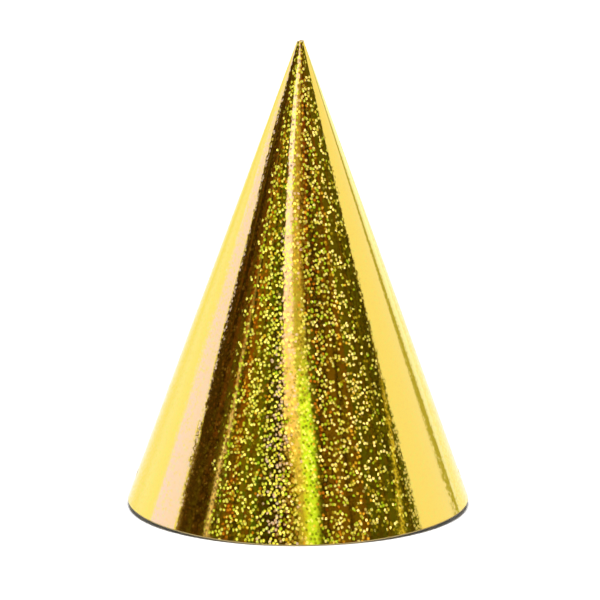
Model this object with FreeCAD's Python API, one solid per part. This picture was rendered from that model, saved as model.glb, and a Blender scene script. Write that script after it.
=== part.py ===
import FreeCAD, Part
import math
import os

from FreeCAD import Vector

# Cone party hat of holographic card. Millimetres, Z up. The origin is the centre of the rim, which
# lies in the plane Z = 0 that the hat stands on. The front is -Y. The seam runs down the back, at
# +Y, and the two punched holes for the chin cord are at the wearer's ears, at -X and +X.
#
# The hat is a flat blank, a sector of a disc, rolled until its two straight edges overlap at the
# seam. A place on the blank is given by its turn: degrees round the cone from the inner straight
# edge. The roll has three stretches, each a part of a right cone: the first half turn, the second
# half turn, whose cone is a little larger and stands towards the seam so that it climbs clear of
# the first, and the flap, which is concentric with the first half turn and lies over its start.

# The flat blank
BLANK_RADIUS = 174.0
TIP_CUT_RADIUS = 4.3
SECTOR = 120.0  # degrees of the flat blank that close one turn of the cone
FLAP_TURN = 10.0  # degrees of the cone's turn: 10 mm wide at the rim, narrowing towards the tip

# The layers, measured square to the wall
CARD_THICKNESS = 0.40
FILM_THICKNESS = 0.10
GLUE_THICKNESS = 0.10

# The glue line
GLUE_FIRST_TURN = 1.5
GLUE_LAST_TURN = 8.5
GLUE_LOW = 4.0
GLUE_HIGH = 148.0

# The punched holes for the chin cord
HOLE_RADIUS = 1.5
HOLE_HEIGHT = 9.0
HOLE_AZIMUTHS = (0.0, 180.0)
PUNCH_LENGTH = 12.0

SEAM_AZIMUTH = 90.0
HALF_TURN = 180.0
UP = Vector(0, 0, 1)

HALF_ANGLE = math.asin(SECTOR / 360.0)
SLOPE = math.tan(HALF_ANGLE)
RIM_RADIUS = BLANK_RADIUS * math.sin(HALF_ANGLE)
HEIGHT = (BLANK_RADIUS - TIP_CUT_RADIUS) * math.cos(HALF_ANGLE)
FIRST_AZIMUTH = SEAM_AZIMUTH - FLAP_TURN / 2.0
WALL = CARD_THICKNESS + FILM_THICKNESS
CLIMB = (WALL + GLUE_THICKNESS) / math.cos(HALF_ANGLE)

# Each stretch of the roll: its first turn, its last turn, how far its cone stands towards the
# inner straight edge, and how much larger that cone is than the first stretch's
FIRST_HALF = (0.0, HALF_TURN, 0.0, 0.0)
SECOND_HALF = (HALF_TURN, 2 * HALF_TURN, CLIMB / 2.0, CLIMB / 2.0)
FLAP = (2 * HALF_TURN, 2 * HALF_TURN + FLAP_TURN, 0.0, CLIMB)
ROLL = (FIRST_HALF, SECOND_HALF, FLAP)


def direction(turn):
    """Level unit vector from the axis towards a turn."""
    azimuth = math.radians(FIRST_AZIMUTH + turn)
    return Vector(math.cos(azimuth), math.sin(azimuth), 0)


def cone_sector(stretch, depth, low, high):
    """The solid inside the surface that lies depth under the film's outside."""
    first, last, stand, larger = stretch
    rim = RIM_RADIUS - CLIMB / 2.0 + larger - depth / math.cos(HALF_ANGLE)
    centre = direction(0.0) * stand + UP * low
    sector = Part.makeCone(
        rim - low * SLOPE, rim - high * SLOPE, high - low, Vector(), UP, last - first
    )
    sector.rotate(Vector(), UP, FIRST_AZIMUTH + first)
    sector.translate(centre)
    return sector


def layer(stretches, outer_depth, inner_depth, low=0.0, high=HEIGHT):
    """A layer of the roll between two heights, along some of its stretches."""
    shells = [
        cone_sector(stretch, outer_depth, low, high).cut(
            cone_sector(stretch, inner_depth, low, high)
        )
        for stretch in stretches
    ]
    sheet = shells[0]
    for shell in shells[1:]:
        sheet = sheet.fuse(shell)
    return sheet.removeSplitter()


def punch(azimuth):
    """The cylinder that a cord hole takes out of the wall, square to it."""
    level = direction(azimuth - FIRST_AZIMUTH)
    outward = level * math.cos(HALF_ANGLE) + UP * math.sin(HALF_ANGLE)
    middle = level * (RIM_RADIUS - HOLE_HEIGHT * SLOPE) + UP * HOLE_HEIGHT
    start = middle - outward * (PUNCH_LENGTH / 2.0)
    return Part.makeCylinder(HOLE_RADIUS, PUNCH_LENGTH, start, outward)


def punched(sheet):
    for azimuth in HOLE_AZIMUTHS:
        sheet = sheet.cut(punch(azimuth))
    return sheet.Solids[0]


def card_cone():
    return punched(layer(ROLL, FILM_THICKNESS, WALL))


def holographic_film():
    return punched(layer(ROLL, 0.0, FILM_THICKNESS))


def seam_adhesive():
    """The glue on the outside of the inner straight edge, under the flap."""
    line = (GLUE_FIRST_TURN, GLUE_LAST_TURN, 0.0, 0.0)
    return layer([line], -GLUE_THICKNESS, 0.0, GLUE_LOW, GLUE_HIGH).Solids[0]


PIECES = {
    "card_cone": card_cone,
    "holographic_film": holographic_film,
    "seam_adhesive": seam_adhesive,
}

os.makedirs("parts", exist_ok=True)
for name, make in PIECES.items():
    shape = make()
    print(name, "valid", shape.isValid(), "volume", round(shape.Volume, 1), shape.BoundBox)
    shape.exportStep("parts/" + name + ".step")
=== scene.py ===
import math

import bpy
import numpy as np
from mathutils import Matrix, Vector, noise


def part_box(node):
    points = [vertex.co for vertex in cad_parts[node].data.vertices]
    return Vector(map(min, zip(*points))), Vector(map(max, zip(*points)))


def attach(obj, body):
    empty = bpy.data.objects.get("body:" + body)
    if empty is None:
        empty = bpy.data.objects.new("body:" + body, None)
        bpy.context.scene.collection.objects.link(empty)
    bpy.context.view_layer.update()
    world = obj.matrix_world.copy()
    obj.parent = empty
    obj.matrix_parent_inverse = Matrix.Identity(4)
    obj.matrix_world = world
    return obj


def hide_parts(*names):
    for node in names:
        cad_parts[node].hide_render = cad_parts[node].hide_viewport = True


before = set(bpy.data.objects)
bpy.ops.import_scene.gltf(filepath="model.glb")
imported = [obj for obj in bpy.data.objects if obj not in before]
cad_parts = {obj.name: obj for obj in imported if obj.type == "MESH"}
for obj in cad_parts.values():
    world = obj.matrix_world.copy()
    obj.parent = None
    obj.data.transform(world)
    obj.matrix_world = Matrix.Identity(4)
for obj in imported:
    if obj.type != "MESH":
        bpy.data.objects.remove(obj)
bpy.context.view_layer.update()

MM = 0.001

# The hat's own geometry, from the frame: the outside of the film and the glue line's height
film_low, film_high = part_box("holographic_film")
glue_low, glue_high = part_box("seam_adhesive")
HEIGHT = film_high.z - film_low.z
SIN_HALF = 1.0 / 3.0  # the blank is a 120 degree sector
HALF_ANGLE = math.asin(SIN_HALF)
RIM_RADIUS = (film_high.x - film_low.x) / 2.0
BLANK_RADIUS = RIM_RADIUS / SIN_HALF
APEX_HEIGHT = RIM_RADIUS / math.tan(HALF_ANGLE)
TIP_CUT = (APEX_HEIGHT - HEIGHT) / math.cos(HALF_ANGLE)

# The layers, measured inwards from the outside of the film, and the lap at the back
FILM = 0.10 * MM
CARD = 0.40 * MM
GLUE = 0.10 * MM
LAYER_GAP = 0.004 * MM
CARD_PULL = 0.30 * MM  # the film stops this far short of the card's rim, and overhangs it at the tip
FLAP_TURN = 10.0
INNER_EDGE_AZIMUTH = 90.0 - FLAP_TURN / 2.0
CLIMB = (FILM + CARD + GLUE) / math.cos(HALF_ANGLE)
LAST_TURN = 360.0 + FLAP_TURN
GLUE_TURNS = (1.5, 8.5)

# The punched holes, with the patch of the net that each replaces and the rings that fill it
HOLE_RADIUS = 1.5 * MM
HOLE_HEIGHT = 9.0 * MM
HOLE_SLANT = (APEX_HEIGHT - HOLE_HEIGHT) / math.cos(HALF_ANGLE)
HOLE_TURNS = [(azimuth - INNER_EDGE_AZIMUTH) % 360.0 for azimuth in (0.0, 180.0)]
HOLE_MARGIN = 1.75 * HOLE_RADIUS
HOLE_RINGS = (1.35 * HOLE_RADIUS, 1.12 * HOLE_RADIUS, HOLE_RADIUS)

# What rolling by hand does to the cone
OVALITY = 0.022  # card springs a little wider across the ears than from front to back
# Slack waves round the wall: (waves in a turn, size in radians, phase in degrees)
WAVES = [(3, 0.00035, 40.0), (5, 0.00030, 130.0), (8, 0.00022, 75.0), (13, 0.00010, 20.0)]
LEAN = 0.005  # the tip stands this much to the right, per unit of height
FRONT_LENGTH = 0.8 * MM  # the wall is this much longer in front and behind than at the sides
LONGER_BAND = 6.0 * MM  # the band above the rim that the extra length is spread over
DENT_DEPTH = 0.10 * MM
DENT_WIDTH = 40.0 * MM
DENT_HEIGHT = 70.0 * MM
DENT_FADE = 60.0 * MM  # dents grow from none at the apex to their full depth this far down
DENT_PLACE = Vector((3.1, 7.7, 1.9))
LIFT_TURN = 3.0  # the last degrees of the flap stand off the layer below
LIFT = 0.10 * MM
LIFT_WAVE = 0.07 * MM
LIFT_WAVE_LENGTH = 19.0 * MM  # for one radian of the wave

# Rows of the net down the wall
TIP_BAND = 3.0 * MM
TIP_STEP = 0.5 * MM
WALL_STEP = 2.2 * MM
RIM_BAND = 2.0 * MM
RIM_ROWS = (1.0 * MM, 0.4 * MM, 0.12 * MM, 0.0)  # distances from the cut rim


# ---------------------------------------------------------------- the rolled sheet


def half_angle_at(azimuth):
    """The cone's half angle towards an azimuth, in radians: oval, with slack waves in the card."""
    oval = SIN_HALF * (1.0 + OVALITY * math.cos(2.0 * azimuth))
    waves = sum(size * math.cos(n * azimuth + math.radians(phase)) for n, size, phase in WAVES)
    return math.asin(oval) + waves


def generator(azimuth):
    """Unit vector down the wall from the apex, towards an azimuth."""
    half = half_angle_at(azimuth)
    sideways = math.sin(half)
    return Vector((sideways * math.cos(azimuth), sideways * math.sin(azimuth), -math.cos(half)))


def generator_and_normal(azimuth):
    down = generator(azimuth)
    step = 1e-4
    along = (generator(azimuth + step) - generator(azimuth - step)).normalized()
    return down, down.cross(along).normalized()


RIM_DROP = max(-generator(math.radians(a)).z for a in range(360)) * BLANK_RADIUS
APEX = Vector((0.0, 0.0, RIM_DROP))


def climb_at(turn):
    """How far the roll has climbed out, square to the axis, at a turn in degrees."""
    if turn <= 180.0:
        return 0.0
    if turn <= 360.0:
        return CLIMB / 2.0 * (1.0 + math.cos(math.radians(turn)))
    return CLIMB


def dent(turn, slant):
    """Shallow unevenness of the card, square to the wall."""
    azimuth = math.radians(INNER_EDGE_AZIMUTH + turn)
    place = Vector((math.cos(azimuth), math.sin(azimuth), 0.0)) * (slant * SIN_HALF / DENT_WIDTH)
    place.z = slant / DENT_HEIGHT
    fade = min(1.0, slant / DENT_FADE)
    return DENT_DEPTH * fade * noise.noise(place + DENT_PLACE)


def flap_lift(turn, slant):
    """How far the flap's free edge stands off the layer below."""
    reach = max(0.0, (turn - (LAST_TURN - LIFT_TURN)) / LIFT_TURN)
    return reach * reach * (LIFT + LIFT_WAVE * math.sin(slant / LIFT_WAVE_LENGTH))


def place_on_roll(turn, slant, depth):
    """Where a point of the flat net comes to lie, at a depth below the outside of the film."""
    azimuth = math.radians(INNER_EDGE_AZIMUTH + turn)
    down, outward = generator_and_normal(azimuth)
    centred = climb_at(turn) - CLIMB / 2.0
    offset = centred * math.cos(HALF_ANGLE) - depth + dent(turn % 360.0, slant)
    near_rim = max(0.0, 1.0 - (BLANK_RADIUS - slant) / LONGER_BAND)
    longer = FRONT_LENGTH * math.sin(azimuth) ** 2 * near_rim
    place = APEX + down * (slant + longer) + outward * (offset + flap_lift(turn, slant))
    place.x += LEAN * (place.z - HEIGHT / 2.0)
    return place


def settle():
    """Lower or lift the roll so that its lowest point is on the table."""
    lowest = min(
        place_on_roll(turn, BLANK_RADIUS, depth).z
        for turn in range(int(LAST_TURN) + 1)
        for depth in (0.0, FILM + CARD)
    )
    APEX.z -= lowest


def spread(first, last, step):
    """Even places from first to last, about a step apart."""
    count = max(1, round((last - first) / step))
    return [first + (last - first) * i / count for i in range(count + 1)]


def slant_rows(first, last):
    """Rows of the sheet, closer together at the two cut edges."""
    rows = spread(first, first + TIP_BAND, TIP_STEP)
    rows += spread(first + TIP_BAND, last - RIM_BAND, WALL_STEP)[1:]
    return rows + [last - inset for inset in RIM_ROWS]


def hole_point(turn, angle, radius):
    across = math.degrees(radius * math.sin(angle) / (HOLE_SLANT * SIN_HALF))
    return (turn + across, HOLE_SLANT + radius * math.cos(angle))


def cut_hole(hole, turns, rows, points):
    """The cells that a hole takes out of the net, and faces round it. Their points join points."""
    width = len(turns)
    reach = math.degrees(HOLE_MARGIN / (HOLE_SLANT * SIN_HALF))
    left = max(i for i, turn in enumerate(turns) if turn <= hole - reach)
    right = min(i for i, turn in enumerate(turns) if turn >= hole + reach)
    low = max(j for j, row in enumerate(rows) if row <= HOLE_SLANT - HOLE_MARGIN)
    high = min(j for j, row in enumerate(rows) if row >= HOLE_SLANT + HOLE_MARGIN)
    gone = {(i, j) for i in range(left, right) for j in range(low, high)}

    loop = [low * width + i for i in range(left, right)]
    loop += [j * width + right for j in range(low, high)]
    loop += [high * width + i for i in range(right, left, -1)]
    loop += [j * width + left for j in range(high, low, -1)]
    bearings = []
    for index in loop:
        turn, row = points[index]
        across = math.radians(turn - hole) * HOLE_SLANT * SIN_HALF
        bearings.append(math.atan2(across, row - HOLE_SLANT))

    rings = [loop]
    for radius in HOLE_RINGS:
        rings.append(list(range(len(points), len(points) + len(loop))))
        points += [hole_point(hole, bearing, radius) for bearing in bearings]
    faces = []
    for outer, inner in zip(rings, rings[1:]):
        for k, start in enumerate(outer):
            after = (k + 1) % len(outer)
            faces.append((start, outer[after], inner[after], inner[k]))
    return gone, faces


def flat_sheet(turns, rows, hole_turns):
    """A flat net of (turn, slant) points and faces, with a round hole at each hole turn."""
    points = [(turn, row) for row in rows for turn in turns]
    gone = set()
    faces = []
    for hole in hole_turns:
        cells, rings = cut_hole(hole, turns, rows, points)
        gone |= cells
        faces += rings
    width = len(turns)
    for j in range(len(rows) - 1):
        for i in range(width - 1):
            if (i, j) not in gone:
                corner = j * width + i
                faces.append((corner, corner + 1, corner + width + 1, corner + width))
    return points, faces


def blank_place(turn, slant):
    """Where a point of the net is on the flat blank, in millimetres."""
    fan = math.radians(turn) * SIN_HALF
    return (slant / MM * math.cos(fan), slant / MM * math.sin(fan), 0.0)


def sheet_piece(name, points, faces, outer_depth, inner_depth, materials):
    """A closed sheet on the roll between two depths. Its cut edges take the last material."""
    count = len(points)
    verts = [place_on_roll(turn, slant, outer_depth) for turn, slant in points]
    verts += [place_on_roll(turn, slant, inner_depth) for turn, slant in points]
    sides = [side for face in faces for side in zip(face, face[1:] + face[:1])]
    used = set(sides)
    border = [(a, b) for a, b in sides if (b, a) not in used]
    outside = [face[::-1] for face in faces]
    inside = [tuple(count + k for k in face) for face in faces]
    walls = [(a, b, count + b, count + a) for a, b in border]
    mesh = bpy.data.meshes.new(name)
    mesh.from_pydata(verts, [], outside + inside + walls)
    for material in materials:
        mesh.materials.append(material)
    for k in range(len(outside) + len(inside), len(mesh.polygons)):
        mesh.polygons[k].material_index = len(materials) - 1
    mesh.shade_smooth()
    sharp = {frozenset(edge) for edge in border}
    sharp |= {frozenset((count + a, count + b)) for a, b in border}
    for edge in mesh.edges:
        if frozenset(edge.vertices) in sharp:
            edge.use_edge_sharp = True
    places = [blank_place(turn, slant) for turn, slant in points]
    flat = mesh.attributes.new("sheet_mm", "FLOAT_VECTOR", "POINT")
    flat.data.foreach_set("vector", np.array(places + places, np.float32).ravel())
    piece = bpy.data.objects.new(name, mesh)
    bpy.context.scene.collection.objects.link(piece)
    return piece


# ---------------------------------------------------------------- node trees


class Nodes:
    """Short calls for building one node tree."""

    def __init__(self, tree):
        self.tree = tree
        tree.nodes.clear()

    def add(self, kind, **settings):
        node = self.tree.nodes.new(kind)
        for key, value in settings.items():
            setattr(node, key, value)
        return node

    def link(self, output, node, socket):
        self.tree.links.new(output, node.inputs[socket])

    def put(self, value, node, socket):
        """Give a socket a number, a vector or a colour, or link another node's output to it."""
        if isinstance(value, (int, float)):
            node.inputs[socket].default_value = value
        elif isinstance(value, tuple):
            size = len(node.inputs[socket].default_value)
            node.inputs[socket].default_value = (*value, 1.0)[:size]
        else:
            self.link(value, node, socket)

    def math(self, operation, a, b=0.0):
        node = self.add("ShaderNodeMath", operation=operation)
        self.put(a, node, 0)
        self.put(b, node, 1)
        return node.outputs[0]

    def vector(self, operation, a, b=(0.0, 0.0, 0.0), scale=None):
        node = self.add("ShaderNodeVectorMath", operation=operation)
        self.put(a, node, 0)
        self.put(b, node, 1)
        if scale is not None:
            self.put(scale, node, "Scale")
        return node.outputs["Value" if operation == "LENGTH" else "Vector"]

    def channels(self, colour):
        node = self.add("ShaderNodeSeparateColor")
        self.link(colour, node, 0)
        return [node.outputs[k] for k in range(3)]

    def ramp(self, value, stops, constant=False):
        """A colour read off (position, colour) stops, blended between them unless constant."""
        node = self.add("ShaderNodeValToRGB")
        node.color_ramp.interpolation = "CONSTANT" if constant else "LINEAR"
        elements = node.color_ramp.elements
        while len(elements) < len(stops):
            elements.new(0.5)
        for element, (position, colour) in zip(elements, stops):
            element.position = position
            element.color = (*colour, 1.0)
        self.link(value, node, "Fac")
        return node.outputs["Color"]

    def fade(self, value, first, last, kind="SMOOTHSTEP"):
        """0 at first and beyond, 1 at last and beyond. First may be the larger."""
        node = self.add("ShaderNodeMapRange", interpolation_type=kind)
        node.inputs["From Min"].default_value = first
        node.inputs["From Max"].default_value = last
        self.link(value, node, "Value")
        return node.outputs["Result"]

    def noise(self, vector, scale, detail=2.0, roughness=0.5):
        node = self.add("ShaderNodeTexNoise")
        node.inputs["Scale"].default_value = scale
        node.inputs["Detail"].default_value = detail
        node.inputs["Roughness"].default_value = roughness
        self.link(vector, node, "Vector")
        return node.outputs["Fac"]

    def mix_float(self, factor, a, b):
        node = self.add("ShaderNodeMix", data_type="FLOAT")
        for socket, value in ((0, factor), (2, a), (3, b)):
            self.put(value, node, socket)
        return node.outputs[0]

    def mix(self, factor, a, b, blend="MIX"):
        """From colour a to colour b."""
        node = self.add("ShaderNodeMix", data_type="RGBA", blend_type=blend)
        for socket, value in ((0, factor), (6, a), (7, b)):
            self.put(value, node, socket)
        return node.outputs[2]

    def tint(self, a, b):
        return self.mix(1.0, a, b, "MULTIPLY")

    def show(self, shader):
        self.link(shader.outputs[0], self.add("ShaderNodeOutputMaterial"), "Surface")


def new_material(name):
    material = bpy.data.materials.new(name)
    material.use_nodes = True
    return material, Nodes(material.node_tree)


def principled(name):
    material, nodes = new_material(name)
    shader = nodes.add("ShaderNodeBsdfPrincipled")
    nodes.show(shader)
    return material, nodes, shader


def sheet_place(nodes):
    """Where a point is on the flat blank, in millimetres."""
    return nodes.add("ShaderNodeAttribute", attribute_name="sheet_mm").outputs["Vector"]


# ---------------------------------------------------------------- the film

FLAKE_MM = 1.15  # from one flake to the next
FLAKE_SCATTER = 0.9  # how far the flakes are off an even grid, from 0 to 1
FLAKE_REACH = 0.56  # a flake's radius, as a part of FLAKE_MM
FLAKE_FILL = 0.60  # how much of a flake's middle is engraved; the rest stays flat
GRAIN_MM = 0.04  # the engraving's own grain
FLAKE_LEAN = (-0.03, 0.50)  # how far a flake leans, down or up the wall, as a tangent
FLAKE_SWING = 0.012  # the most that it leans sideways
FLAKE_CLUSTER = 0.2  # how much of its lean a flake shares with its neighbours
CLUSTERS = 0.28  # the scale of those neighbourhoods, per millimetre
RIPPLE = 0.012  # lean of the film between the flakes
RIPPLES = 0.45  # the scale of the ripples, per millimetre
STRAY = 0.010  # lean of the flat film round one flake
SMEARS = 0.05  # the scale of duller and glossier stretches of film, per millimetre
FILM_ROUGHNESS = (0.05, 0.09)
COAT_IOR = 1.9
COAT_ROUGHNESS = 0.02
NOISE_BAND = (0.3, 0.7)  # a noise texture mostly stays between these
GOLD = (1.0, 0.69, 0.045)
FLAKE_GOLDS = [(0.00, GOLD), (0.60, (1.0, 0.67, 0.040)), (0.85, (0.97, 0.71, 0.050))]


def around_zero(nodes, value, size):
    """A value between 0 and 1, brought to between -size / 2 and size / 2."""
    return nodes.math("MULTIPLY", nodes.math("SUBTRACT", value, 0.5), size)


def between(nodes, value, low, high):
    """A value between 0 and 1, brought to between low and high."""
    return nodes.math("ADD", nodes.math("MULTIPLY", value, high - low), low)


def film_material():
    """Gold mirror film embossed with small flakes that lean up and down the wall, under clear gloss."""
    material, nodes, shader = principled("gold_holographic_film")
    place = sheet_place(nodes)
    cells = nodes.add("ShaderNodeTexVoronoi", voronoi_dimensions="2D", feature="F1")
    cells.inputs["Scale"].default_value = 1.0 / FLAKE_MM
    cells.inputs["Randomness"].default_value = FLAKE_SCATTER
    nodes.link(place, cells, "Vector")
    lean_chance, side_chance, hue_chance = nodes.channels(cells.outputs["Color"])
    mask = nodes.fade(cells.outputs["Distance"], FLAKE_REACH, 0.5 * FLAKE_REACH)
    grain = nodes.add("ShaderNodeTexWhiteNoise", noise_dimensions="2D")
    nodes.link(nodes.vector("SNAP", place, (GRAIN_MM, GRAIN_MM, GRAIN_MM)), grain, "Vector")
    fill = nodes.math("MULTIPLY", mask, FLAKE_FILL)
    engraved = nodes.math("LESS_THAN", grain.outputs["Value"], fill)

    shared = nodes.noise(cells.outputs["Position"], CLUSTERS)
    shared = nodes.fade(shared, *NOISE_BAND, "LINEAR")
    own = nodes.math("MULTIPLY", lean_chance, 1.0 - FLAKE_CLUSTER)
    blend = nodes.math("ADD", own, nodes.math("MULTIPLY", shared, FLAKE_CLUSTER))
    ripple = around_zero(nodes, nodes.noise(place, RIPPLES), 4.0 * RIPPLE)
    ripple = nodes.math("ADD", ripple, around_zero(nodes, side_chance, 2.0 * STRAY))
    lean = nodes.mix_float(engraved, ripple, between(nodes, blend, *FLAKE_LEAN))
    swing = nodes.math("MULTIPLY", around_zero(nodes, side_chance, 2.0 * FLAKE_SWING), engraved)

    normal = nodes.add("ShaderNodeNewGeometry").outputs["Normal"]
    level = nodes.vector("NORMALIZE", nodes.vector("CROSS_PRODUCT", (0.0, 0.0, 1.0), normal))
    uphill = nodes.vector("CROSS_PRODUCT", normal, level)
    up_tilt = nodes.vector("SCALE", uphill, scale=lean)
    side_tilt = nodes.vector("SCALE", level, scale=swing)
    tilt = nodes.vector("ADD", up_tilt, side_tilt)
    flake_normal = nodes.vector("NORMALIZE", nodes.vector("ADD", normal, tilt))
    nodes.link(flake_normal, shader, "Normal")
    nodes.link(flake_normal, shader, "Coat Normal")

    hue = nodes.ramp(hue_chance, FLAKE_GOLDS, constant=True)
    nodes.link(nodes.mix(mask, GOLD, hue), shader, "Base Color")
    smear = nodes.fade(nodes.noise(place, SMEARS, detail=3.0), *NOISE_BAND, "LINEAR")
    nodes.link(between(nodes, smear, *FILM_ROUGHNESS), shader, "Roughness")
    shader.inputs["Metallic"].default_value = 1.0
    shader.inputs["Coat Weight"].default_value = 1.0
    shader.inputs["Coat IOR"].default_value = COAT_IOR
    shader.inputs["Coat Roughness"].default_value = COAT_ROUGHNESS
    return material


# ---------------------------------------------------------------- the card and the glue

WHITE_BOARD = (0.92, 0.91, 0.87)
# the board's cut edges: its pale core, made yellow with a painted reflection of the gold film
CUT_BOARD_AND_REFLECTION = (0.80, 0.70, 0.45)
RIM_GOLD_REFLECTION = (0.62, 0.48, 0.20)  # painted reflection: the gold film's light painted on the board as a gold-tan at its cut rim
RIM_REFLECTION_BAND = (0.7, 0.3)  # the painted reflection grows between these distances from the rim, in millimetres
FIBRES = 1.7  # the fibres' scale, per millimetre
FIBRE_SHADE = 0.9  # how much of the board's colour their darkest parts keep
MOTTLES = 0.12  # the mottle's scale, per millimetre
MOTTLE_SHADE = 0.8  # how much of the board's colour its darkest parts keep
FIBRE_BUMP = 0.05 * MM
GLUE_THIN = (0.80, 0.74, 0.56)
GLUE_THICK = (0.90, 0.86, 0.72)
GLUE_STREAKS = (0.4, 2.5, 1.0)  # the streaks' scale along and across the seam, per millimetre


def shaded(colour, share):
    return tuple(share * part for part in colour)


def card_material(name, colour, rough):
    """Uncoated board with soft fibres and a faint mottle, and a painted reflection of the gold film as
    a gold-tan at its cut rim.
    """
    material, nodes, shader = principled(name)
    place = sheet_place(nodes)
    fibres = nodes.noise(place, FIBRES, detail=6.0, roughness=0.7)
    mottle = nodes.noise(place, MOTTLES, detail=3.0)
    look = nodes.mix(nodes.math("MULTIPLY", fibres, 0.8), colour, shaded(colour, FIBRE_SHADE))
    look = nodes.mix(nodes.math("MULTIPLY", mottle, 0.25), look, shaded(colour, MOTTLE_SHADE))
    # the gold-tan near the rim is painted reflection of the gold film, not the board's own colour
    first, last = (BLANK_RADIUS / MM - inset for inset in RIM_REFLECTION_BAND)
    cut = nodes.fade(nodes.vector("LENGTH", place), first, last)
    nodes.link(nodes.mix(cut, look, RIM_GOLD_REFLECTION), shader, "Base Color")
    nodes.link(between(nodes, fibres, rough - 0.1, rough + 0.1), shader, "Roughness")
    bump = nodes.add("ShaderNodeBump")
    bump.inputs["Strength"].default_value = 0.35
    bump.inputs["Distance"].default_value = FIBRE_BUMP
    nodes.link(fibres, bump, "Height")
    nodes.link(bump.outputs["Normal"], shader, "Normal")
    return material


def glue_material():
    material, nodes, shader = principled("dried_glue")
    streaks = nodes.vector("MULTIPLY", sheet_place(nodes), GLUE_STREAKS)
    streaks = nodes.noise(streaks, 1.0, detail=4.0)
    nodes.link(nodes.mix(streaks, GLUE_THIN, GLUE_THICK), shader, "Base Color")
    shader.inputs["Roughness"].default_value = 0.45
    return material


# ---------------------------------------------------------------- the hat


def build_hat():
    settle()
    film = film_material()
    board = card_material("white_board", WHITE_BOARD, 0.80)
    # the cut edges' colour holds a painted reflection of the gold film as well as the board's core
    core_and_reflection = card_material("cut_board_edge_and_reflection", CUT_BOARD_AND_REFLECTION, 0.90)
    turns = spread(0.0, LAST_TURN, 1.0)
    net = flat_sheet(turns, slant_rows(TIP_CUT + CARD_PULL, BLANK_RADIUS), HOLE_TURNS)
    card = sheet_piece("card_cone_rolled", *net, FILM + LAYER_GAP, FILM + CARD, [board, core_and_reflection])
    net = flat_sheet(turns, slant_rows(TIP_CUT, BLANK_RADIUS - CARD_PULL), HOLE_TURNS)
    skin = sheet_piece("holographic_film_rolled", *net, 0.0, FILM, [film])
    glue_first = (APEX_HEIGHT - glue_high.z) / math.cos(HALF_ANGLE)
    glue_last = (APEX_HEIGHT - glue_low.z) / math.cos(HALF_ANGLE)
    net = flat_sheet(spread(*GLUE_TURNS, 1.0), slant_rows(glue_first, glue_last), [])
    glue = sheet_piece("seam_glue_line", *net, LAYER_GAP - GLUE, -LAYER_GAP, [glue_material()])
    for piece, node, slot in (
        (card, "card_cone", "card"),
        (skin, "holographic_film", "film"),
        (glue, "seam_adhesive", "adhesive"),
    ):
        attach(piece, "root")
        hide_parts(node)


# ---------------------------------------------------------------- light strips and cards

# They stand in a ring round the hat and are seen only in the film. An azimuth is in degrees from
# the front, to the right, and a height in metres above the table.
RING_RADIUS = 0.40
BLACK = (0.0, 0.0, 0.0)

STRIP_EDGE = 0.8  # half the softness of the front strip's left edge, in degrees
STRIP_JOIN = 1.5  # half the softness of the place where it turns into its shoulder
STRIP_FADE = (1.0, 2.5)  # how far inside and outside the right edge the shoulder fades
# The strip in front: (height, azimuths of its left edge, of the place where the pale strip turns
# into its shoulder and of its right edge, the strip's colour, the shoulder's colour)
FRONT_ROWS = [
    (1.263, (-32.0, -12.0, 12.0), (0.22, 0.21, 0.04), (0.02, 0.02, 0.01)),
    (0.763, (-32.0, -12.0, 12.0), (0.40, 0.38, 0.07), (0.04, 0.04, 0.01)),
    (0.463, (-30.0, -12.0, 12.0), (0.52, 0.48, 0.14), (0.08, 0.08, 0.03)),
    (0.403, (-18.0, 1.0, 15.0), (1.21, 1.11, 3.22), (0.22, 0.19, 0.10)),
    (0.385, (-18.0, 4.0, 16.0), (1.21, 1.11, 3.54), (0.26, 0.22, 0.12)),
    (0.378, (-10.8, 9.0, 17.5), (1.21, 1.11, 3.54), (0.28, 0.24, 0.12)),
    (0.374, (-15.0, 1.0, 10.0), (1.21, 1.11, 3.00), (0.28, 0.24, 0.12)),
    (0.367, (-22.0, -5.5, 4.0), (1.22, 1.14, 3.00), (0.34, 0.29, 0.13)),
    (0.358, (-28.0, -12.0, -1.4), (1.22, 1.16, 3.10), (0.38, 0.32, 0.15)),
    (0.341, (-31.5, -14.0, 5.0), (1.24, 1.19, 3.30), (0.36, 0.31, 0.14)),
    (0.318, (-26.5, -14.3, 2.0), (1.24, 1.17, 3.60), (0.36, 0.31, 0.14)),
    (0.290, (-22.4, -10.8, 0.0), (1.20, 1.05, 2.90), (0.44, 0.38, 0.16)),
    (0.263, (-18.6, -6.5, 5.0), (1.13, 0.94, 2.20), (0.46, 0.46, 0.16)),
    (0.235, (-14.6, -4.0, 8.0), (1.04, 0.84, 1.20), (0.46, 0.52, 0.16)),
    (0.217, (-12.6, -1.0, 9.8), (0.98, 0.86, 1.00), (0.50, 0.80, 0.12)),
    (0.207, (-11.6, 0.5, 10.8), (0.94, 0.82, 0.80), (0.60, 1.10, 0.10)),
    (0.193, (-8.0, 3.0, 12.2), (0.88, 0.76, 0.48), (0.64, 1.28, 0.10)),
    (0.179, (-3.5, 4.5, 13.3), (0.72, 0.66, 0.24), (0.62, 1.22, 0.10)),
    (0.160, (1.5, 6.0, 13.8), (0.38, 0.38, 0.10), (0.56, 1.02, 0.10)),
    (0.073, (3.0, 6.0, 13.8), (0.20, 0.20, 0.05), (0.50, 0.90, 0.10)),
]

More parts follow.
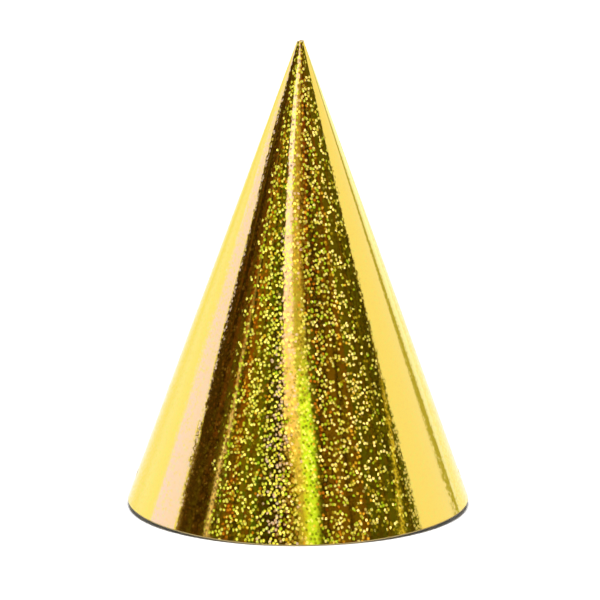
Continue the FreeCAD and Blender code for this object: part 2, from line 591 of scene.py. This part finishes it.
# Two thin lines of light: (azimuth, height, colour), and half their widths in degrees. The light is
# full within LINE_FULL and ends at LINE_END, as parts of the half width.
LINE_FULL = 0.5
LINE_END = 1.6
TAN_LINE_HALF = 1.2
TAN_LINE = [
    (-84.0, 0.68, BLACK),
    (-73.0, 0.55, BLACK),
    (-62.0, 0.35, (0.05, 0.05, 0.03)),
    (-55.5, 0.235, (0.22, 0.19, 0.10)),
    (-57.5, 0.186, (0.50, 0.44, 0.36)),
    (-55.3, 0.171, (0.75, 0.66, 0.70)),
    (-58.5, 0.152, (0.80, 0.70, 0.72)),
    (-59.0, 0.129, (0.80, 0.68, 0.65)),
    (-59.5, 0.070, (0.75, 0.64, 0.56)),
]
GOLD_LINE_HALF = 2.0
GOLD_LINE = [
    (98.0, 0.43, BLACK),
    (86.0, 0.26, BLACK),
    (80.0, 0.160, BLACK),
    (78.0, 0.145, (0.55, 0.48, 0.08)),
    (74.7, 0.13, (0.70, 0.62, 0.12)),
    (69.5, 0.113, (0.66, 0.58, 0.12)),
    (62.5, 0.07, (0.55, 0.50, 0.10)),
]

# The front end of the left side panel: (height, azimuth of its edge). The film mirrors this edge as
# the border between its pale left side and its dark middle.
LEFT_PANEL_END = [
    (0.000, -80.5),
    (0.095, -80.5),
    (0.098, -82.5),
    (0.112, -81.5),
    (0.114, -85.0),
    (0.124, -85.0),
    (0.126, -80.5),
    (0.132, -80.0),
    (0.140, -83.5),
    (0.180, -87.0),
    (0.225, -87.0),
    (0.230, -89.0),
    (0.240, -95.5),
    (0.252, -99.0),
    (0.260, -99.0),
    (0.270, -96.5),
    (0.300, -96.0),
]
PANEL_TRIM = 1.7  # the width of the yellow tape down that edge, in degrees
PANEL_JOIN = -106.0  # the azimuth where that end meets the surround's own panel
TOP_FROM = 0.230  # the height where that end turns paler
BLUSH = (1.0, 0.97, 2.8)
PALE_BLUSH = (1.0, 0.99, 1.9)
TRIM_COLOUR = (0.95, 0.98, 0.60)

# A blue light over the panel: (height, azimuth of its far edge, colour). Its near edge rises between
# two azimuths, and its far edge fades out over some degrees.
BLUE = (0.0, 0.0, 1.5)
BLUE_ROWS = [(0.15, -113.0, BLACK), (0.18, -114.0, BLUE), (0.21, -119.0, BLUE), (0.26, -121.0, BLACK)]
BLUE_EDGE = (-108.0, -112.0)
BLUE_FADE = 3.0


def on_ring(azimuth, z):
    a = math.radians(azimuth)
    return (RING_RADIUS * math.sin(a), -RING_RADIUS * math.cos(a), z)


def stage_light(name, mesh, material):
    """Put a light mesh in the scene, where only the film mirrors it."""
    mesh.materials.append(material)
    card = bpy.data.objects.new(name, mesh)
    bpy.context.scene.collection.objects.link(card)
    card.visible_camera = False
    card.visible_diffuse = False
    card.visible_shadow = False


def glow_grid(name, rows):
    """A curved strip of light. A row is a height and its (azimuth, colour) points. It hides nothing."""
    width = len(rows[0][1])
    verts = [on_ring(azimuth, z) for z, columns in rows for azimuth, _ in columns]
    colours = [(*colour, 1.0) for _, columns in rows for _, colour in columns]
    faces = []
    for j in range(len(rows) - 1):
        for i in range(width - 1):
            k = j * width + i
            faces.append((k, k + 1, k + width + 1, k + width))
    mesh = bpy.data.meshes.new(name)
    mesh.from_pydata(verts, [], faces)
    glow = mesh.attributes.new("glow", "FLOAT_COLOR", "POINT")
    glow.data.foreach_set("color", np.array(colours, np.float32).ravel())
    material, nodes = new_material(name + "_light")
    light = nodes.add("ShaderNodeEmission")
    colour = nodes.add("ShaderNodeAttribute", attribute_name="glow").outputs["Color"]
    nodes.link(colour, light, "Color")
    both = nodes.add("ShaderNodeAddShader")
    nodes.link(light.outputs[0], both, 0)
    nodes.link(nodes.add("ShaderNodeBsdfTransparent").outputs[0], both, 1)
    nodes.show(both)
    stage_light(name, mesh, material)


def light_card(name, colour, rows):
    """A flat-coloured card that hides what is behind it. A row is (height, two azimuths)."""
    verts = [on_ring(azimuth, z) for z, *ends in rows for azimuth in ends]
    faces = [(2 * k, 2 * k + 1, 2 * k + 3, 2 * k + 2) for k in range(len(rows) - 1)]
    mesh = bpy.data.meshes.new(name)
    mesh.from_pydata(verts, [], faces)
    material, nodes = new_material(name + "_light")
    light = nodes.add("ShaderNodeEmission")
    light.inputs["Color"].default_value = (*colour, 1.0)
    nodes.show(light)
    stage_light(name, mesh, material)


def front_rows():
    """The front strip's rows: a soft left edge, a softer join to its shoulder, a fading right edge."""
    inside, outside = STRIP_FADE
    rows = []
    for z, (left, middle, right), strip, shoulder in FRONT_ROWS:
        columns = [(left - STRIP_EDGE, BLACK), (left + STRIP_EDGE, strip)]
        columns += [(middle - STRIP_JOIN, strip), (middle + STRIP_JOIN, shoulder)]
        columns += [(right - inside, shoulder), (right + outside, BLACK)]
        rows.append((z, columns))
    return rows


def line_rows(line, half_width):
    """Rows of one thin soft line of light."""
    rows = []
    for azimuth, z, colour in line:
        full = LINE_FULL * half_width
        end = LINE_END * half_width
        columns = [(azimuth - end, BLACK), (azimuth - full, colour)]
        columns += [(azimuth + full, colour), (azimuth + end, BLACK)]
        rows.append((z, columns))
    return rows


def blue_rows():
    first, full = BLUE_EDGE
    rows = []
    for z, last, colour in BLUE_ROWS:
        columns = [(first, BLACK), (full, colour), (last, colour), (last - BLUE_FADE, BLACK)]
        rows.append((z, columns))
    return rows


def build_lights():
    glow_grid("glow_front", front_rows())
    glow_grid("glow_left", line_rows(TAN_LINE, TAN_LINE_HALF))
    glow_grid("glow_right", line_rows(GOLD_LINE, GOLD_LINE_HALF))
    end = [(z, edge - PANEL_TRIM, PANEL_JOIN) for z, edge in LEFT_PANEL_END]
    light_card("left_panel_end", BLUSH, [row for row in end if row[0] <= TOP_FROM])
    light_card("left_panel_top", PALE_BLUSH, [row for row in end if row[0] >= TOP_FROM])
    trim = [(z, edge, edge - PANEL_TRIM) for z, edge in LEFT_PANEL_END]
    light_card("left_panel_trim", TRIM_COLOUR, trim)
    glow_grid("glow_blush", blue_rows())


# ---------------------------------------------------------------- the surround

# (elevation, how far from the front a side panel begins), all in degrees
LEFT_EDGE = [(0, 103), (18, 103), (20.5, 89), (24, 89), (29, 92), (35, 97.5), (41, 104), (45, 111)]
LEFT_EDGE += [(49, 124)]
RIGHT_EDGE = [(0, 88), (13, 87.5), (15, 85.7), (17, 83.6), (19.5, 81.5), (23, 84.5), (30, 88.5)]
RIGHT_EDGE += [(36, 95), (41, 103), (45, 114), (48, 126), (62, 165)]
PANELS_TO = 60  # the elevation up to which the two edges are read
PANEL_SOFT = 0.7
PANEL_BACK = (168.0, 165.0)  # the panels stop this far round towards the back
LEFT_PANEL = (1.0, 1.08, 0.85)
RIGHT_PANEL = (0.985, 1.0, 0.90)
BLUSH_BEHIND = (-106.0, -117.0)  # where the left panel changes from the blush to its own colour

# (elevation, how far from the front the two right-hand panels leave a gap)
GAP = [(0, 132.5), (1.5, 131.5), (3, 129), (4.5, 128), (5.5, 128.5), (9, 132), (17, 136)]
GAP += [(26, 142), (34, 149), (40, 155)]
GAP_TO = 40
GAP_GROWTH = 0.80  # how much wider it gets in a degree of elevation, up to GAP_WIDEST
GAP_WIDEST = 4.8
GAP_START = 1.6  # it would close this many degrees below the horizon
GAP_SOFT = (1.4, 0.5)  # its dark grows between these distances from its middle, in its own widths
GAP_COLOUR = (0.46, 0.46, 0.09)
OUTER_SOFT = (0.0, 2.0)
OUTER_NEAR = (1.0, 1.10, 1.10)  # the panel beyond the gap, near it and far round
OUTER_FAR = (1.02, 1.46, 2.8)
OUTER_BAND = (134.0, 150.0)
GRAZING_BAND = (130.0, 148.0)  # from here back all is tinted gold, as the film's edges add no tint
GRAZING_TINT = (0.97, 0.88, 0.36)
NO_TINT = (1.0, 1.0, 1.0)

# (azimuth from the front, the elevation where the bright ceiling begins)
CEILING_EDGE = [(-180, 60), (-112, 60), (-104, 58), (-92, 53.5), (-80, 48.5), (-68, 41), (-56, 41)]
CEILING_EDGE += [(-42, 45), (0, 48.5), (28, 47), (42, 45), (56, 43), (70, 41), (80, 42), (92, 45)]
CEILING_EDGE += [(102, 43), (180, 30)]
CEILING_RAGGED = 5.0
CEILING_SOFT = (-1.0, 1.5)

# Patches of colour: a palette lists (the share of the patches before it, colour)
PATCHES = 14.0
PATCH_FLATTEN = (1.0, 1.0, 1.8)
CEILING = [
    (0.00, (1.45, 1.62, 1.6)),
    (0.26, (1.27, 1.52, 0.80)),
    (0.46, (2.5, 2.6, 3.3)),
    (0.60, (1.35, 0.90, 0.25)),
    (0.66, (0.88, 0.26, 0.08)),
    (0.71, (0.60, 1.20, 0.15)),
    (0.82, (0.42, 0.39, 0.04)),
]
ROOM = [
    (0.00, (0.150, 0.112, 0.012)),
    (0.30, (0.090, 0.060, 0.008)),
    (0.50, (0.210, 0.068, 0.012)),
    (0.62, (0.085, 0.125, 0.012)),
    (0.78, (0.035, 0.028, 0.006)),
]
RIGHT_ROOM = [
    (0.00, (0.115, 0.102, 0.009)),
    (0.30, (0.072, 0.062, 0.007)),
    (0.52, (0.150, 0.088, 0.009)),
    (0.66, (0.090, 0.110, 0.009)),
    (0.82, (0.042, 0.036, 0.005)),
]
LEFT_ROOM = [
    (0.00, (0.085, 0.046, 0.008)),
    (0.24, (0.045, 0.026, 0.004)),
    (0.46, (0.125, 0.048, 0.012)),
    (0.60, (0.085, 0.070, 0.008)),
    (0.74, (0.030, 0.015, 0.003)),
    (0.90, (0.200, 0.130, 0.060)),
]
RIGHT_ROOM_FROM = (32.0, 50.0)  # azimuths where one palette gives way to the next
LEFT_ROOM_FROM = (-60.0, -66.0)
GREENER_FROM = (5.0, -15.0)
GREENER = (0.90, 1.05, 0.66)  # the tint of the ceiling's left part
# (azimuth from the front, the tint of the dark room there)
ROOM_TINTS = [
    (-60.0, (1.25, 1.20, 1.00)),
    (-34.0, (1.10, 1.28, 0.90)),
    (-24.0, (0.70, 0.72, 0.60)),
    (-8.0, (0.70, 0.70, 0.60)),
    (4.0, (1.15, 0.92, 1.00)),
    (34.0, (1.15, 0.92, 1.00)),
]

# What stands for the table below the horizon: (from the top of the band to its foot, colour)
BELOW_BAND = (-3.0, -14.0)
BELOW = [(0.0, (1.0, 0.98, 0.55)), (0.45, (1.03, 1.03, 0.80)), (1.0, (1.05, 1.05, 1.05))]
HORIZON = (-0.9, -1.1)

FILL_STRENGTH = 0.27  # the white light that everything but the mirror gets from all round


def curve(nodes, value, places, low, high, scale):
    """A value read off a line through places: from low..high in, to 0..scale out."""
    stops = [((at - low) / (high - low), (result / scale,) * 3) for at, result in places]
    across = nodes.fade(value, low, high, "LINEAR")
    return nodes.math("MULTIPLY", nodes.ramp(across, stops), scale)


def room_view(nodes, towards, azimuth, elevation):
    """The dark room, and above a ragged edge its many-coloured ceiling."""
    patches = nodes.add("ShaderNodeTexVoronoi", feature="F1")
    patches.inputs["Scale"].default_value = PATCHES
    nodes.link(nodes.vector("MULTIPLY", towards, PATCH_FLATTEN), patches, "Vector")
    ceiling_chance, room_chance, edge_chance = nodes.channels(patches.outputs["Color"])

    room = nodes.ramp(room_chance, ROOM, constant=True)
    hues = [(at / 180.0 + 0.5, tint) for at, tint in ROOM_TINTS]
    room = nodes.tint(room, nodes.ramp(nodes.fade(azimuth, -90.0, 90.0, "LINEAR"), hues))
    right_room = nodes.ramp(room_chance, RIGHT_ROOM, constant=True)
    room = nodes.mix(nodes.fade(azimuth, *RIGHT_ROOM_FROM), room, right_room)
    left_room = nodes.ramp(room_chance, LEFT_ROOM, constant=True)
    room = nodes.mix(nodes.fade(azimuth, *LEFT_ROOM_FROM), room, left_room)

    ceiling = nodes.ramp(ceiling_chance, CEILING, constant=True)
    greener = nodes.mix(nodes.fade(azimuth, *GREENER_FROM), NO_TINT, GREENER)
    ceiling = nodes.tint(ceiling, greener)
    edge = curve(nodes, azimuth, CEILING_EDGE, -180, 180, 90)
    above = nodes.math("SUBTRACT", elevation, edge)
    above = nodes.math("ADD", above, around_zero(nodes, edge_chance, CEILING_RAGGED))
    return nodes.mix(nodes.fade(above, *CEILING_SOFT), room, ceiling)


def add_side_panels(nodes, view, azimuth, elevation, before_back):
    """The tall bright panel on each side, in front of the room."""
    left_start = curve(nodes, elevation, LEFT_EDGE, 0, PANELS_TO, 180)
    leftness = nodes.fade(nodes.math("ADD", azimuth, left_start), PANEL_SOFT, -PANEL_SOFT)
    blush = nodes.mix(nodes.fade(azimuth, *BLUSH_BEHIND), BLUSH, LEFT_PANEL)
    view = nodes.mix(nodes.math("MULTIPLY", leftness, before_back), view, blush)
    right_start = curve(nodes, elevation, RIGHT_EDGE, 0, PANELS_TO, 180)
    rightness = nodes.fade(nodes.math("SUBTRACT", azimuth, right_start), -PANEL_SOFT, PANEL_SOFT)
    return nodes.mix(nodes.math("MULTIPLY", rightness, before_back), view, RIGHT_PANEL)


def add_gap(nodes, view, azimuth, elevation, turned, before_back):
    """The darker gap down the right panel, and the paler panel beyond it."""
    away = nodes.math("SUBTRACT", azimuth, curve(nodes, elevation, GAP, 0, GAP_TO, 180))
    reach = nodes.math("MULTIPLY", nodes.math("ADD", elevation, GAP_START), GAP_GROWTH)
    reach = nodes.math("MINIMUM", reach, GAP_WIDEST)
    gap = nodes.fade(nodes.math("DIVIDE", nodes.math("ABSOLUTE", away), reach), *GAP_SOFT)
    outside = nodes.math("MULTIPLY", nodes.fade(away, *OUTER_SOFT), before_back)
    outer = nodes.mix(nodes.fade(turned, *OUTER_BAND), OUTER_NEAR, OUTER_FAR)
    view = nodes.mix(outside, view, outer)
    return nodes.mix(gap, view, GAP_COLOUR)


def surround_view(nodes):
    """All that the film mirrors far away, by the direction in which it is seen."""
    towards = nodes.add("ShaderNodeTexCoord").outputs["Generated"]
    split = nodes.add("ShaderNodeSeparateXYZ")
    nodes.link(towards, split, 0)
    x, y, z = (split.outputs[k] for k in range(3))
    backwards = nodes.math("MULTIPLY", y, -1.0)
    azimuth = nodes.math("DEGREES", nodes.math("ARCTAN2", x, backwards))
    elevation = nodes.math("DEGREES", nodes.math("ARCSINE", z))
    turned = nodes.math("ABSOLUTE", azimuth)
    before_back = nodes.fade(turned, *PANEL_BACK)

    view = room_view(nodes, towards, azimuth, elevation)
    view = add_side_panels(nodes, view, azimuth, elevation, before_back)
    view = add_gap(nodes, view, azimuth, elevation, turned, before_back)
    grazing = nodes.math("MULTIPLY", nodes.fade(turned, *GRAZING_BAND), before_back)
    view = nodes.tint(view, nodes.mix(grazing, NO_TINT, GRAZING_TINT))
    below = nodes.ramp(nodes.fade(elevation, *BELOW_BAND, "LINEAR"), BELOW)
    return nodes.mix(nodes.fade(elevation, *HORIZON), view, below)


def background(nodes, colour, strength=1.0):
    node = nodes.add("ShaderNodeBackground")
    nodes.put(colour, node, "Color")
    nodes.put(strength, node, "Strength")
    return node.outputs[0]


def choose(nodes, ray, otherwise, then):
    """One background for a kind of ray, and another for all the rest."""
    node = nodes.add("ShaderNodeMixShader")
    nodes.link(ray, node, 0)
    nodes.link(otherwise, node, 1)
    nodes.link(then, node, 2)
    return node.outputs[0]


def build_world():
    """A dark room with tall side panels and a many-coloured ceiling, for reflections only."""
    world = bpy.data.worlds.new("studio")
    bpy.context.scene.world = world
    world.use_nodes = True
    nodes = Nodes(world.node_tree)
    white = (1.0, 1.0, 1.0)
    rays = nodes.add("ShaderNodeLightPath")
    mirrored = background(nodes, surround_view(nodes))
    fill = background(nodes, white, FILL_STRENGTH)
    lit = choose(nodes, rays.outputs["Is Glossy Ray"], fill, mirrored)
    seen = choose(nodes, rays.outputs["Is Camera Ray"], lit, background(nodes, white))
    nodes.link(seen, nodes.add("ShaderNodeOutputWorld"), "Surface")


# ---------------------------------------------------------------- lamp, table and camera

KEY_ENERGY = 3.5
KEY_WIDTH = math.radians(30.0)
KEY_HEIGHT = 1.5
TABLE_HALF = 4.0
TABLE_WHITE = (0.92, 0.92, 0.93)
CAMERA_DISTANCE = 1.5
CAMERA_ELEVATION = math.radians(12.1)
CAMERA_LENS = 262.9  # in millimetres, on a sensor 36 mm wide
AIM_RIGHT = 0.45 * MM
AIM_BELOW_MIDDLE = 8.25 * MM


def build_key_light():
    """A broad soft light straight above. The film doesn't mirror it."""
    lamp = bpy.data.lights.new("key_light", "SUN")
    lamp.energy = KEY_ENERGY
    lamp.angle = KEY_WIDTH
    key = bpy.data.objects.new("key_light", lamp)
    bpy.context.scene.collection.objects.link(key)
    key.location = (0.0, 0.0, KEY_HEIGHT)
    key.visible_glossy = False


def build_table():
    """A white table. The film doesn't mirror it, because the surround stands in for it there."""
    material, _, shader = principled("white_table")
    shader.inputs["Base Color"].default_value = (*TABLE_WHITE, 1.0)
    shader.inputs["Roughness"].default_value = 0.8
    shader.inputs["Specular IOR Level"].default_value = 0.0
    mesh = bpy.data.meshes.new("table")
    corners = [(x * TABLE_HALF, y * TABLE_HALF, 0.0) for x, y in ((-1, -1), (1, -1), (1, 1), (-1, 1))]
    mesh.from_pydata(corners, [], [(0, 1, 2, 3)])
    mesh.materials.append(material)
    table = bpy.data.objects.new("table", mesh)
    bpy.context.scene.collection.objects.link(table)
    table.visible_glossy = False


def build_camera():
    """A long lens from the front, twelve degrees above the table."""
    pivot = Vector((0.0, 0.0, HEIGHT / 2.0))
    offset = Vector((0.0, -math.cos(CAMERA_ELEVATION), math.sin(CAMERA_ELEVATION)))
    aim = Vector((AIM_RIGHT, 0.0, HEIGHT / 2.0 - AIM_BELOW_MIDDLE))
    camera = bpy.data.objects.new("camera", bpy.data.cameras.new("camera"))
    bpy.context.scene.collection.objects.link(camera)
    camera.location = pivot + offset * CAMERA_DISTANCE
    camera.rotation_mode = "QUATERNION"
    camera.rotation_quaternion = (aim - camera.location).to_track_quat("-Z", "Y")
    camera.data.sensor_width = 36.0
    camera.data.lens = CAMERA_LENS
    camera.data.clip_start = 0.05
    camera.data.clip_end = 20.0
    bpy.context.scene.camera = camera


build_hat()
build_lights()
build_world()
build_key_light()
build_table()
build_camera()
bpy.context.scene.view_settings.view_transform = "Standard"
